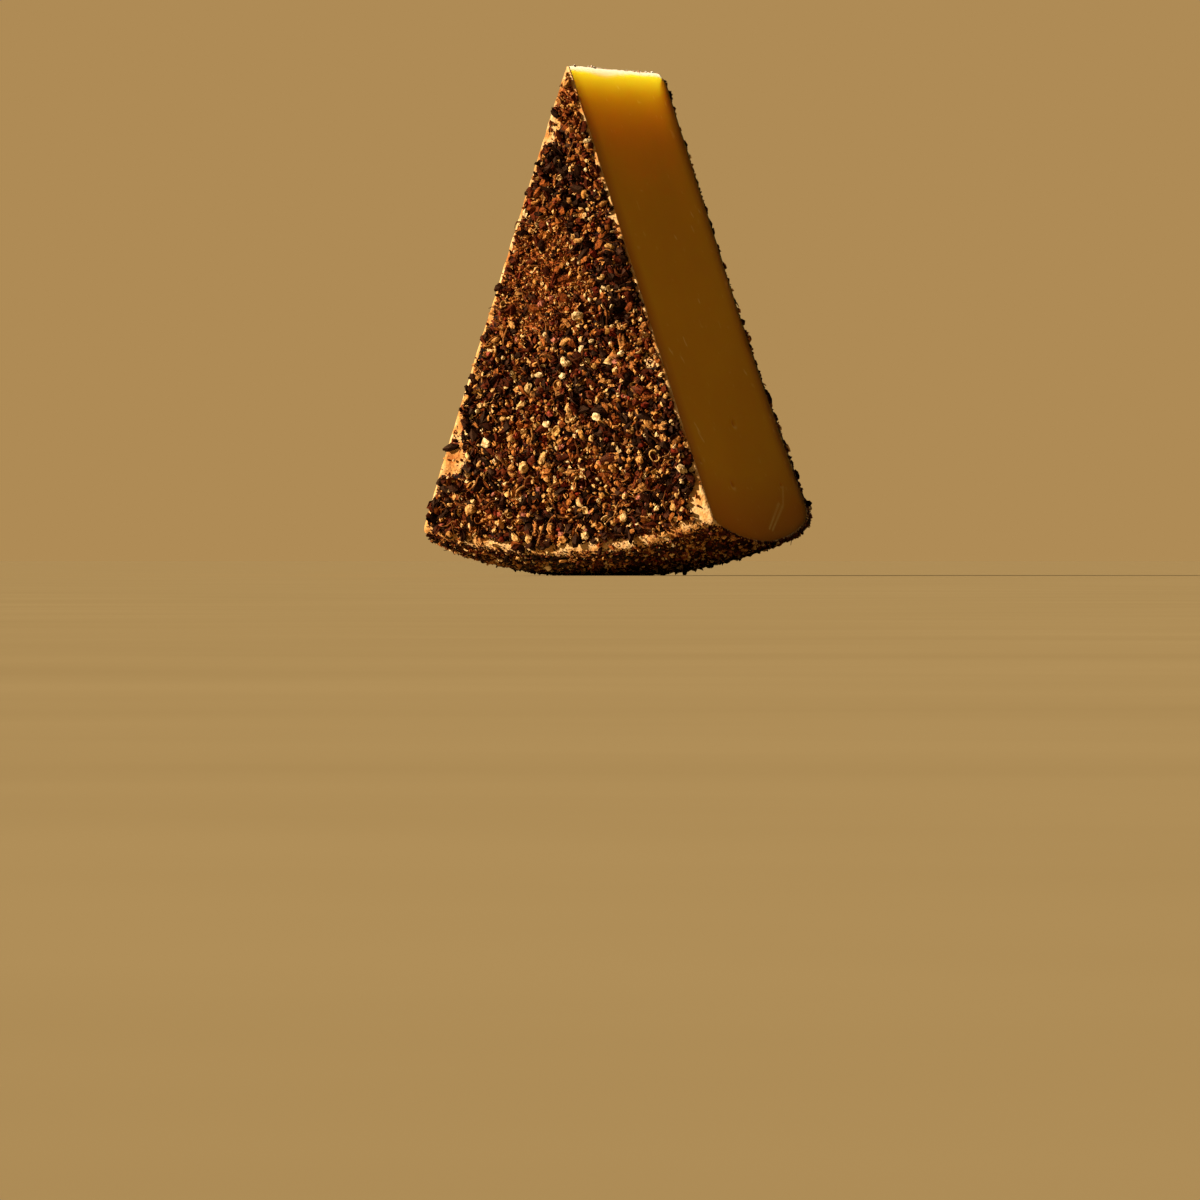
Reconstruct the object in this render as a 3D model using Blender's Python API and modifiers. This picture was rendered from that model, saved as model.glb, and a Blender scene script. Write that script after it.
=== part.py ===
# A wedge of hard cheese in a cracked-pepper coat, standing on its heel with its tip up.
# The whole wheel is turned from its half section, then two knife cuts leave the wedge.
# Metres, +Z up. The wheel's axis runs along Y, the coated front face looks to -Y and
# the right cut face to +X. The origin is on the surface below the middle of the wedge.
import math

import bpy

# Driving dimensions of the cheese, without its coat
PASTE_RADIUS = 0.1530  # wheel's axis to the middle of the heel
FRONT_FACE = 0.0360  # middle plane to the front face
BACK_FACE = 0.0350  # middle plane to the back face, near the tip
HEEL_BULGE_RADIUS = 0.1000  # the heel's slight swell across the wheel's thickness
COAT = 0.0014  # thickness of the pepper coat

# The wheel's two rims: the front one draws in a little, the back one flares out
FRONT_DRAW_IN = 0.0018
FRONT_DRAW_FROM = 0.1050  # radius where the front face starts to draw in
BACK_FLARE = 0.0062
BACK_FLARE_FROM = 0.0600  # radius where the back face starts to flare
FRONT_CORNER = 0.0040  # corner radii where the faces meet the heel
BACK_CORNER = 0.0065

# The two knife cuts
CUT_HALF_ANGLE = math.radians(19.0)
TIP_HEIGHT = 0.1572  # tip above the surface
TIP_WIDTH = 0.0008  # the tip is blunt by this much
AXIS_LEFT_OF_TIP = 0.0037  # the cuts miss the wheel's axis by this much
FLAT_DEPTH = 0.0006  # how much the heel is pressed flat where it stands

# Fineness of the turned surface
TURN_STEPS = 264
FACE_POINTS = 14
CORNER_POINTS = 7
HEEL_POINTS = 26
HALVINGS = 40
SLOPE_STEP = 0.0001

# Sizes that follow
RIM_RADIUS = PASTE_RADIUS + COAT
HEEL_CENTRE = RIM_RADIUS - HEEL_BULGE_RADIUS  # radius at which the heel's arc is centred
AXIS_HEIGHT = RIM_RADIUS - FLAT_DEPTH  # wheel's axis above the surface
SIDE = 0.60  # edge of the boxes that stand for the knife's waste and the surface
COLLECTION = "cheese_wedge"
CUTTERS = "cutters"

# Finishes, as linear colours
COAT_COLOUR = (0.055, 0.024, 0.010)
COAT_ROUGHNESS = 0.75
PASTE_COLOUR = (0.55, 0.27, 0.04)
PASTE_ROUGHNESS = 0.42
PASTE_GLOW = 0.3  # share of light that travels through the paste


def clear_scene():
    """Removes what the startup file holds."""
    for obj in list(bpy.data.objects):
        bpy.data.objects.remove(obj, do_unlink=True)


def make_collection(name):
    collection = bpy.data.collections.new(name)
    bpy.context.scene.collection.children.link(collection)
    return collection


def make_material(name, colour, roughness, subsurface=0.0):
    """A plain Principled finish with the part's colour."""
    material = bpy.data.materials.new(name)
    material.use_nodes = True
    shader = material.node_tree.nodes["Principled BSDF"]
    shader.inputs["Base Color"].default_value = (*colour, 1.0)
    shader.inputs["Roughness"].default_value = roughness
    shader.inputs["Metallic"].default_value = 0.0
    shader.inputs["Subsurface Weight"].default_value = subsurface
    return material


def spread(start, end, count):
    """Evenly spaced numbers from start to end, both included."""
    return [start + (end - start) * i / (count - 1) for i in range(count)]


def front_face(radius):
    """Distance of the coated front face from the middle plane, drawing in towards the rim."""
    share = max(0.0, radius - FRONT_DRAW_FROM) / (PASTE_RADIUS - FRONT_DRAW_FROM)
    return FRONT_FACE + COAT - FRONT_DRAW_IN * share * share


def back_face(radius):
    """Distance of the coated back face from the middle plane, flaring towards the rim."""
    share = max(0.0, radius - BACK_FLARE_FROM) / (PASTE_RADIUS - BACK_FLARE_FROM)
    return BACK_FACE + COAT + BACK_FLARE * share * share


def lean(face, radius):
    """Angle by which a face leans towards the axis at a radius."""
    return math.atan((face(radius + SLOPE_STEP) - face(radius - SLOPE_STEP)) / (2 * SLOPE_STEP))


def corner_centre(face, touch, corner):
    """Centre of the corner's circle when it touches the face at the radius touch."""
    angle = lean(face, touch)
    return touch + corner * math.sin(angle), face(touch) - corner * math.cos(angle)


def corner_arc(face, corner):
    """The arc that touches a face and the heel, as (radius, depth), from the face outwards.

    The touching point on the face is found by halving: the circle's centre must lie
    HEEL_BULGE_RADIUS less the corner's own radius from the centre of the heel's arc."""
    inner, outer = FRONT_DRAW_FROM, RIM_RADIUS
    for _ in range(HALVINGS):
        touch = (inner + outer) / 2
        out, depth = corner_centre(face, touch, corner)
        if math.hypot(out - HEEL_CENTRE, depth) > HEEL_BULGE_RADIUS - corner:
            outer = touch
        else:
            inner = touch
    start = -lean(face, touch)
    end = math.atan2(out - HEEL_CENTRE, depth)
    angles = spread(start, end, CORNER_POINTS)
    return [(out + corner * math.sin(a), depth + corner * math.cos(a)) for a in angles]


def heel(depth):
    """Radius of the coated heel at a depth from the middle plane: a shallow arc."""
    return HEEL_CENTRE + math.sqrt(HEEL_BULGE_RADIUS**2 - depth**2)


def half_section():
    """The wheel's half section as (radius, depth), from the front's middle round to the back's."""
    front_corner = corner_arc(front_face, FRONT_CORNER)
    back_corner = corner_arc(back_face, BACK_CORNER)
    front = [(r, front_face(r)) for r in spread(0.0, front_corner[0][0], FACE_POINTS)[:-1]]
    back = [(r, back_face(r)) for r in spread(0.0, back_corner[0][0], FACE_POINTS)[:-1]]
    depths = spread(-front_corner[-1][1], back_corner[-1][1], HEEL_POINTS)[1:-1]
    belly = [(heel(depth), depth) for depth in depths]
    front_side = [(r, -depth) for r, depth in front + front_corner]
    return front_side + belly + (back + back_corner)[::-1]


def turned_wheel(coat, collection):
    """The whole coated wheel: its half section turned about its axis, front face up at first."""
    profile = [(radius, 0.0, -depth) for radius, depth in half_section()]
    mesh = bpy.data.meshes.new("wheel_section")
    mesh.from_pydata(profile, [(i, i + 1) for i in range(len(profile) - 1)], [])
    wheel = bpy.data.objects.new("cheese_wedge", mesh)
    wheel.data.materials.append(coat)
    collection.objects.link(wheel)
    screw = wheel.modifiers.new("turn", "SCREW")
    screw.axis = "Z"
    screw.angle = 2 * math.pi
    screw.steps = TURN_STEPS
    screw.render_steps = TURN_STEPS
    screw.use_merge_vertices = True
    screw.merge_threshold = 0.00001
    screw.use_smooth_shade = True
    return wheel


def waste_box(name, centre, turn, material, collection):
    """A box that takes away everything on one side of a flat cut."""
    bpy.ops.mesh.primitive_cube_add(size=SIDE, location=centre, rotation=(0.0, turn, 0.0))
    box = bpy.context.object
    box.name = name
    box.data.materials.append(material)
    for other in list(box.users_collection):
        other.objects.unlink(box)
    collection.objects.link(box)
    box.hide_render = True
    box.display_type = "WIRE"
    return box


def cut_away(wheel, box):
    """One flat cut, whose new face takes the finish of the box."""
    cut = wheel.modifiers.new(box.name, "BOOLEAN")
    cut.operation = "DIFFERENCE"
    cut.solver = "EXACT"
    cut.material_mode = "TRANSFER"
    cut.object = box


def knife_box(side, tip_x, paste, collection):
    """The waste beside one cut: its face holds one edge of the tip and leans by the half angle."""
    centre_x = tip_x + side * (TIP_WIDTH + SIDE * math.cos(CUT_HALF_ANGLE)) / 2
    centre_z = TIP_HEIGHT + SIDE * math.sin(CUT_HALF_ANGLE) / 2
    name = "right_cut" if side > 0 else "left_cut"
    return waste_box(name, (centre_x, 0.0, centre_z), -side * CUT_HALF_ANGLE, paste, collection)


def widest_at(side):
    """How far the rim's corner on one cut lies from the tip's middle: line meets circle."""
    from_axis_x = side * TIP_WIDTH / 2 + AXIS_LEFT_OF_TIP
    from_axis_z = TIP_HEIGHT - AXIS_HEIGHT
    along_x = side * math.sin(CUT_HALF_ANGLE)
    along_z = -math.cos(CUT_HALF_ANGLE)
    back = from_axis_x * along_x + from_axis_z * along_z
    inside = RIM_RADIUS**2 - from_axis_x**2 - from_axis_z**2
    reach = -back + math.sqrt(back**2 + inside)
    return side * TIP_WIDTH / 2 + reach * along_x


def middle_shift():
    """Where the tip's middle and the middle plane go, to centre the whole box on the origin."""
    depths = [depth for _, depth in half_section()]
    return -(widest_at(1) + widest_at(-1)) / 2, -(max(depths) + min(depths)) / 2


def build():
    clear_scene()
    parts = make_collection(COLLECTION)
    cutters = make_collection(CUTTERS)
    coat = make_material("pepper_coat", COAT_COLOUR, COAT_ROUGHNESS)
    paste = make_material("cheese_paste", PASTE_COLOUR, PASTE_ROUGHNESS, PASTE_GLOW)
    tip_x, middle_y = middle_shift()
    wheel = turned_wheel(coat, parts)
    wheel.rotation_euler = (math.pi / 2, 0.0, 0.0)
    wheel.location = (tip_x - AXIS_LEFT_OF_TIP, middle_y, AXIS_HEIGHT)
    for side in (-1, 1):
        cut_away(wheel, knife_box(side, tip_x, paste, cutters))
    tip_top = (tip_x, 0.0, TIP_HEIGHT + SIDE / 2)
    cut_away(wheel, waste_box("blunt_tip", tip_top, 0.0, paste, cutters))
    cut_away(wheel, waste_box("pressed_flat", (0.0, 0.0, -SIDE / 2), 0.0, coat, cutters))


build()
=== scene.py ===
import math

import bmesh
import bpy
import numpy as np
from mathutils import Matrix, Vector


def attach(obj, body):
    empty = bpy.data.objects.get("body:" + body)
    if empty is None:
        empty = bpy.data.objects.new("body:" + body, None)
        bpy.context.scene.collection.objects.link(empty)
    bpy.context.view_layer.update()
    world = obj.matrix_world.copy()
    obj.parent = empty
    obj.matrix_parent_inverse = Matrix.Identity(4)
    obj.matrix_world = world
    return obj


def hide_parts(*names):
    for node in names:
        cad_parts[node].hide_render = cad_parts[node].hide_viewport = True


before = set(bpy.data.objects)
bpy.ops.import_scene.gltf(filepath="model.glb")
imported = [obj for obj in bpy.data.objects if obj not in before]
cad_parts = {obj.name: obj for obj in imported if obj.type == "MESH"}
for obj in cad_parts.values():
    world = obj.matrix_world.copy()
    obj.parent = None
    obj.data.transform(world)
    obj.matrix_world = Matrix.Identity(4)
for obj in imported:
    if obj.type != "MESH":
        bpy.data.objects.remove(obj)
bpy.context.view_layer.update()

# Shapes are worked out in millimetres, in the solid model's frame, and made metres in addPiece
mm = 0.001
node = "cheese_wedge"
nodePoints = np.array([v.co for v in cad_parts[node].data.vertices]) / mm
low, high = nodePoints.min(axis=0), nodePoints.max(axis=0)
tipPoints = nodePoints[nodePoints[:, 2] > high[2] - 0.01]

# The wheel that the wedge was cut from, and the two knife cuts
wedge = {
    "tipHeight": high[2],
    "tipX": tipPoints[:, 0].mean(),
    "tipWidth": np.ptp(tipPoints[:, 0]),
    "halfAngle": math.radians(19.0),
    "axisLeftOfTip": 3.7,
    "axisHeight": 153.8,
    "pasteRadius": 153.0,
    "heelBulge": 100.0,
    "coat": 1.4,
    "frontFace": 36.0,
    "backFace": 35.0,
    "frontDrawIn": 1.8,
    "frontDrawFrom": 105.0,
    "backFlare": 6.2,
    "backFlareFrom": 60.0,
    "frontCorner": 4.0,
    "backCorner": 6.5,
}
wedge["middleY"] = low[1] + wedge["frontFace"] + wedge["coat"]
wedge["axisX"] = wedge["tipX"] - wedge["axisLeftOfTip"]


# Patterns

# A repeatable number from 0 to 1 for each whole-number cell
def lattice(cells, seed):
    wave = np.sin(cells @ np.array([127.1, 311.7, 74.7]) + seed * 19.19) * 43758.5453
    return wave - np.floor(wave)


# Smooth noise from -1 to 1: random numbers on a lattice of this size, blended between its corners
def lumps(points, size, seed, octaves=1):
    total = np.zeros(len(points))
    weight, reach = 1.0, 0.0
    for octave in range(octaves):
        place = points / (size / 2**octave) + seed * 3.7
        cell = np.floor(place)
        part = place - cell
        part = part * part * (3 - 2 * part)
        value = np.zeros(len(points))
        for corner in np.ndindex(2, 2, 2):
            share = np.prod(np.where(corner, part, 1 - part), axis=1)
            value += share * lattice(cell + corner, seed + octave)
        total += weight * (2 * value - 1)
        reach += weight
        weight *= 0.5
    return total / reach


# 0 at the start, 1 at the end and a smooth change between
def step(start, end, value):
    share = np.clip((value - start) / (end - start), 0, 1)
    return share * share * (3 - 2 * share)


# The wedge's surfaces

# Distance of the paste's front face from the middle plane: flat, then drawn in as a square
def frontDepth(radius):
    w = wedge
    share = np.maximum(0, radius - w["frontDrawFrom"]) / (w["pasteRadius"] - w["frontDrawFrom"])
    return w["frontFace"] - w["frontDrawIn"] * share**2


# Distance of the paste's back face from the middle plane: flat, then flared as a square
def backDepth(radius):
    w = wedge
    share = np.maximum(0, radius - w["backFlareFrom"]) / (w["pasteRadius"] - w["backFlareFrom"])
    return w["backFace"] + w["backFlare"] * share**2


# The arc that touches a face and the heel's arc, as (radius, depth) from the face outwards.
# The touching point is found by halving: its circle's centre lies the bulge less the corner
# from the centre of the heel's arc.
def cornerArc(face, corner, lift, count):
    heelCentre = wedge["pasteRadius"] + lift - wedge["heelBulge"]
    inner, outer = wedge["frontDrawFrom"], wedge["pasteRadius"] + lift
    for _ in range(40):
        touch = (inner + outer) / 2
        slope = math.atan((face(touch + 0.1) - face(touch - 0.1)) / 0.2)
        out = touch + corner * math.sin(slope)
        depth = face(touch) + lift - corner * math.cos(slope)
        if math.hypot(out - heelCentre, depth) > wedge["heelBulge"] - corner:
            outer = touch
        else:
            inner = touch
    angle = np.linspace(-slope, math.atan2(out - heelCentre, depth), count)
    return np.stack([out + corner * np.sin(angle), depth + corner * np.cos(angle)], axis=1)


# Radius of the heel at a depth from the middle plane: a shallow arc
def heelRadius(depth, lift):
    heelCentre = wedge["pasteRadius"] + lift - wedge["heelBulge"]
    return heelCentre + np.sqrt(wedge["heelBulge"] ** 2 - depth**2)


# The heel with its two corners as (radius, y from the middle plane), front to back, evenly spaced
def rimProfile(lift, count):
    front = cornerArc(frontDepth, wedge["frontCorner"], lift, 12) * [1, -1]
    back = cornerArc(backDepth, wedge["backCorner"], lift, 16)
    depth = np.linspace(front[-1, 1], back[-1, 1], 60)[1:-1]
    heel = np.stack([heelRadius(depth, lift), depth], axis=1)
    line = np.concatenate([front, heel, back[::-1]])
    along = np.concatenate([[0], np.cumsum(np.linalg.norm(np.diff(line, axis=0), axis=1))])
    even = np.linspace(0, along[-1], count)
    return np.stack([np.interp(even, along, line[:, 0]), np.interp(even, along, line[:, 1])], axis=1)


# Where a ray at this angle leaves the blunt tip; inset narrows the wedge at both cuts
def rayStart(angle, inset):
    half = wedge["tipWidth"] / 2 - inset / math.cos(wedge["halfAngle"])
    return wedge["tipX"] + angle / wedge["halfAngle"] * half


# Length of a ray from the tip to a circle round the wheel's axis: line meets circle
def rayReach(angle, radius, inset):
    fromX = rayStart(angle, inset) - wedge["axisX"]
    fromZ = wedge["tipHeight"] - wedge["axisHeight"]
    back = fromX * np.sin(angle) - fromZ * np.cos(angle)
    return -back + np.sqrt(np.maximum(back**2 + radius**2 - fromX**2 - fromZ**2, 0))


# The x and z at this distance down a ray
def rayPoint(angle, reach, inset):
    x = rayStart(angle, inset) + reach * np.sin(angle)
    return x, wedge["tipHeight"] - reach * np.cos(angle)


# Distance of points from the wheel's axis
def wheelRadius(x, z):
    return np.hypot(x - wedge["axisX"], z - wedge["axisHeight"])


# The outside as a grid [row, across, xyz]: down the front face, round the heel and up the back.
# Down a face a row is a share of each ray; round the heel it is a point of the rim's profile.
def skin(lift, acrossCount, spacing, inset):
    angle = np.linspace(-1, 1, acrossCount)[None, :] * wedge["halfAngle"]
    rows = round(wedge["pasteRadius"] / spacing)
    rim = rimProfile(lift, 2 * (rows // 2 - rows // 4) + 1)
    share = np.linspace(0, 1, rows + 1)[:-1, None]
    grids = []
    for face, sign, end in ((frontDepth, -1, rim[0]), (backDepth, 1, rim[-1])):
        x, z = rayPoint(angle, share * rayReach(angle, end[0], inset), inset)
        y = wedge["middleY"] + sign * (face(wheelRadius(x, z)) + lift)
        grids.append(np.stack([x, y, z], axis=2))
    x, z = rayPoint(angle, rayReach(angle, rim[:, :1], inset), inset)
    y = np.broadcast_to(wedge["middleY"] + rim[:, 1:], x.shape)
    return np.concatenate([grids[0], np.stack([x, y, z], axis=2), grids[1][::-1]])


# The outward direction of a cut, side -1 on the left and 1 on the right, and a point of its plane
def cutPlane(side):
    out = np.array([side * math.cos(wedge["halfAngle"]), 0, math.sin(wedge["halfAngle"])])
    return out, np.array([wedge["tipX"] + side * wedge["tipWidth"] / 2, 0, wedge["tipHeight"]])


# Mesh helpers

# Quads of a grid whose points are numbered row by row
def gridFaces(rows, columns, start=0, wrap=False):
    index = np.arange(rows * columns).reshape(rows, columns) + start
    if wrap:
        index = np.concatenate([index, index[:, :1]], axis=1)
    quads = np.stack([index[:-1, :-1], index[1:, :-1], index[1:, 1:], index[:-1, 1:]], axis=2)
    return quads.reshape(-1, 4)


# Unit normals of a grid, from the cross product of its two directions
def gridNormals(grid):
    normal = np.cross(np.gradient(grid, axis=0), np.gradient(grid, axis=1))
    return normal / np.maximum(np.linalg.norm(normal, axis=2, keepdims=True), 1e-9)


# The point numbers round the edge of a grid, as one loop
def borderOf(rows, columns):
    index = np.arange(rows * columns).reshape(rows, columns)
    return np.concatenate([index[0, :-1], index[:-1, -1], index[-1, :0:-1], index[:0:-1, 0]])


# Puts points in millimetres and their faces into one mesh on the root body, with a number at each
# point for its material to read; a weld merges the points where grids meet and turns faces out
def addPiece(name, points, faces, material, smooth, values, weld=False):
    mesh = bpy.data.meshes.new(name)
    mesh.vertices.add(len(points))
    mesh.vertices.foreach_set("co", (points * mm).astype(np.float32).ravel())
    mesh.loops.add(faces.size)
    mesh.loops.foreach_set("vertex_index", faces.astype(np.int32).ravel())
    mesh.polygons.add(len(faces))
    mesh.polygons.foreach_set("loop_start", np.arange(0, faces.size, faces.shape[1], dtype=np.int32))
    mesh.polygons.foreach_set("use_smooth", np.full(len(faces), smooth))
    mesh.update(calc_edges=True)
    for label, value in values.items():
        mesh.attributes.new(label, "FLOAT", "POINT").data.foreach_set("value", value.astype(np.float32))
    if weld:
        work = bmesh.new()
        work.from_mesh(mesh)
        bmesh.ops.remove_doubles(work, verts=work.verts, dist=1e-6)
        bmesh.ops.recalc_face_normals(work, faces=work.faces)
        work.to_mesh(mesh)
        work.free()
    mesh.validate()
    mesh.materials.append(material)
    piece = bpy.data.objects.new(name, mesh)
    bpy.context.scene.collection.objects.link(piece)
    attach(piece, "root")
    print(name, len(mesh.polygons), "faces")
    return piece


# Material helpers

# An sRGB hex colour as linear numbers
def linear(hexCode):
    values = [int(hexCode[i:i + 2], 16) / 255 for i in (1, 3, 5)]
    return (*[v / 12.92 if v <= 0.04045 else ((v + 0.055) / 1.055) ** 2.4 for v in values], 1.0)


# Adds one node and gives back its output. Inputs are numbers, hex colours or links by socket,
# stops are a colour ramp's places with their colours, and the rest are the node's own settings.
def addNode(tree, kind, inputs=None, out=0, stops=(), **settings):
    made = tree.nodes.new("ShaderNode" + kind)
    for label, value in settings.items():
        setattr(made, label, value)
    for label, value in (inputs or {}).items():
        if isinstance(value, bpy.types.NodeSocket):
            tree.links.new(value, made.inputs[label])
        else:
            made.inputs[label].default_value = linear(value) if isinstance(value, str) else value
    for index, (place, colour) in enumerate(stops):
        elements = made.color_ramp.elements
        element = elements[index] if index < len(elements) else elements.new(place)
        element.position = place
        element.color = linear(colour)
    return made.outputs[out]


# A named material with one Principled shader, whose fixed values are set on its own sockets
def startMaterial(name, finish):
    material = bpy.data.materials.new(name)
    material.use_nodes = True
    shader = material.node_tree.nodes["Principled BSDF"]
    for label, value in finish.items():
        shader.inputs[label].default_value = linear(value) if isinstance(value, str) else value
    return material, material.node_tree, shader


# Paste: the cut cheese

paste = {
    "spacing": 0.56,  # grid size on the cut faces
    "acrossCount": 116,
    "waviness": 0.22,  # how far the knife wandered
    "tipRough": 0.45,  # how uneven the thin edge is
    "backDroop": 1.5,  # how much is worn away at the tip's back end
    "wornHeight": 3.5,  # how far down the wear reaches
    "sharpAngle": math.radians(40),  # edges that turn more than this stay crisp
    "rindShadeWidth": 7.0,  # painted shade: the paste is darker this near to the rind
    "heelShadeWidth": 22.0,  # the same painted shade above the heel
    "colour": "#D6970A",
    "mottleColour": "#D29208",
    # the darker amber of the painted shade along the rind, above the heel and inside pits
    "rindShadeColour": "#BE6E05",
    "markColour": "#F0CC74",
    "dryColour": "#CA8658",  # the thin edge is dry and pale
    "reachMm": (22.0, 30.0, 26.0),  # how deep red, green and blue light go before they fade
}

# Pits on a cut as side, distance down from the tip, y, radius and depth
pits = (
    (1, 116.3, 1.7, 1.3, 0.55), (1, 136.4, -14.1, 1.3, 0.3), (1, 136.4, 23.4, 0.8, 0.4),
    (1, 128.8, -33.0, 0.7, 0.2), (-1, 70.0, 8.0, 1.2, 0.5), (-1, 112.0, -14.0, 1.0, 0.4),
    (-1, 131.0, 17.0, 0.8, 0.4), (-1, 95.0, 24.0, 0.8, 0.3),
)

# Light scratches on a cut as side, then the distance and y of both ends
scratches = (
    (1, 137.0, 24.7, 143.0, 20.5), (1, 143.0, 20.5, 151.5, 5.5), (1, 142.5, 17.5, 151.0, 3.5),
    (1, 116.5, -28.2, 119.5, -26.5), (1, 119.8, -27.4, 122.5, -25.6), (1, 46.6, 20.6, 47.8, 21.3),
    (1, 45.5, 27.3, 46.4, 27.9), (1, 51.3, 17.9, 52.8, 18.3), (1, 54.9, 2.4, 55.7, 2.8),
    (1, 75.7, 4.7, 76.7, 5.1), (1, 88.5, -16.2, 91.0, -15.6), (1, 92.3, -29.9, 94.0, -28.2),
    (1, 94.8, -22.6, 96.4, -21.4), (1, 98.6, 23.2, 99.9, 24.2), (-1, 139.0, -4.0, 134.0, -2.5),
)


# Pressed hard cheese, cut with a knife: dense, smooth and translucent, faintly greasy.
# Light sinks in and comes out a deeper amber, so that the thin edge glows yellow.
def pasteMaterial():
    material, tree, shader = startMaterial("hardCheesePaste", {
        "Roughness": 0.36, "IOR": 1.45, "Specular IOR Level": 0.1, "Specular Tint": "#E09010",
        "Subsurface Weight": 1.0, "Subsurface Scale": mm, "Subsurface Radius": paste["reachMm"]})
    shader.subsurface_method = "RANDOM_WALK"
    place = addNode(tree, "TexCoord", out="Object")
    mottle = addNode(tree, "TexNoise", {"Vector": place, "Scale": 1 / (25 * mm), "Detail": 3.0})
    body = addNode(tree, "ValToRGB", {"Fac": mottle}, stops=(
        (0.35, paste["mottleColour"]), (0.65, paste["colour"])))
    # painted shade: darker amber towards the rind and the heel and inside pits
    inner = addNode(tree, "Attribute", out="Fac", attribute_name="paintedShadeFree")
    body = addNode(tree, "Mix", {"Factor": inner, 6: paste["rindShadeColour"], 7: body}, 2, data_type="RGBA")
    for label in ("mark", "dry"):
        amount = addNode(tree, "Attribute", out="Fac", attribute_name=label)
        body = addNode(tree, "Mix", {
            "Factor": amount, 6: body, 7: paste[label + "Colour"]}, 2, data_type="RGBA")
    tree.links.new(body, shader.inputs["Base Color"])
    drag = addNode(tree, "Mapping", {"Vector": place, "Scale": (1.0, 0.05, 1.0)})
    drag = addNode(tree, "TexNoise", {"Vector": drag, "Scale": 1 / (7 * mm), "Detail": 3.0})
    grain = addNode(tree, "TexNoise", {"Vector": place, "Scale": 1 / (0.9 * mm), "Detail": 3.0})
    relief = addNode(tree, "Bump", {"Height": drag, "Distance": 0.15 * mm, "Strength": 0.5})
    relief = addNode(tree, "Bump", {
        "Height": grain, "Distance": 0.05 * mm, "Strength": 0.5, "Normal": relief})
    tree.links.new(relief, shader.inputs["Normal"])
    return material


# How far the thin edge is worn down: a little everywhere, and away altogether at its back end
def tipWear(points):
    y = points[:, 1]
    alongY = np.stack([y * 0, y, y * 0], axis=1)
    wear = paste["tipRough"] * (0.4 + 0.6 * lumps(alongY, 2.6, 4, 3) + 0.4 * lumps(alongY, 17.0, 5))
    backEnd = wedge["middleY"] + wedge["backFace"]
    wear = wear + paste["backDroop"] * np.clip(1 - (backEnd - y) / 4.0, 0, 1) ** 2
    return wear * np.clip(1 - (wedge["tipHeight"] - points[:, 2]) / paste["wornHeight"], 0, 1)


# Distance of paste points from the nearest rind: front face, back face or heel
def depthInPaste(points):
    y = points[:, 1] - wedge["middleY"]
    radius = wheelRadius(points[:, 0], points[:, 2])
    return np.minimum.reduce([y + frontDepth(radius), backDepth(radius) - y, heelRadius(y, 0) - radius])


# Rows that join the front half of a border to its back half, point for point
def bridge(border, acrossCount):
    half = len(border) // 2 + 1
    front, back = border[:half, None], border[::-1][:half, None]
    share = np.linspace(0, 1, acrossCount)[None, :, None]
    return front * (1 - share) + back * share


# One cut: the knife's wander and small pits move it in or out, fading to nothing at its border.
# A pit is a bell-shaped dent with a slight rim, with painted shade inside and pale at its lower end; marks
# show pale where the surface is torn.
def cutFace(side, border):
    grid = bridge(border, paste["acrossCount"])
    flat = grid.reshape(-1, 3)
    out, edge = cutPlane(side)
    distance = np.linalg.norm((flat - edge) * [1, 0, 1], axis=1)
    inside = depthInPaste(flat)
    fade = step(0, 4, inside) * step(0, 5, distance)
    broad = lumps(flat * [1, 0.35, 1], 24, 11 + side, 2)
    move = paste["waviness"] * (broad + 0.35 * lumps(flat * [1, 0.12, 1], 5, 21 + side, 2))
    mark = 0.25 * step(0.76, 0.9, lumps(flat * [1, 1.4, 0.8], 1.6, 71 + side))
    pitShadeFree = np.ones(len(flat))
    for pitSide, down, y, radius, depth in pits:
        if pitSide == side:
            away = np.hypot(distance - down, flat[:, 1] - y) / radius
            move += depth * (0.35 * np.exp(-((away - 1.3) * 3) ** 2) - np.exp(-away**2 * 1.8))
            lower = step(0.2, 1.2, (distance - down) / radius)
            mark = np.maximum(mark, 0.6 * lower * np.exp(-((away - 1.2) * 3) ** 2))
            # painted shade inside the pit
            pitShadeFree *= 1 - np.exp(-away**2 * 1.5)
    for scratchSide, downA, yA, downB, yB in scratches:
        if scratchSide == side:
            line = np.array([downB - downA, yB - yA])
            offset = np.stack([distance - downA, flat[:, 1] - yA], axis=1)
            share = np.clip(offset @ line / (line @ line), 0, 1)
            away = np.linalg.norm(offset - share[:, None] * line, axis=1)
            mark = np.maximum(mark, step(0.55, 0.1, away) * (0.5 + 0.4 * np.abs(lumps(flat, 2.0, 75))))
    flat = flat + out * (move * fade)[:, None]
    return flat.reshape(grid.shape), mark * step(0.5, 2, inside), pitShadeFree


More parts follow.
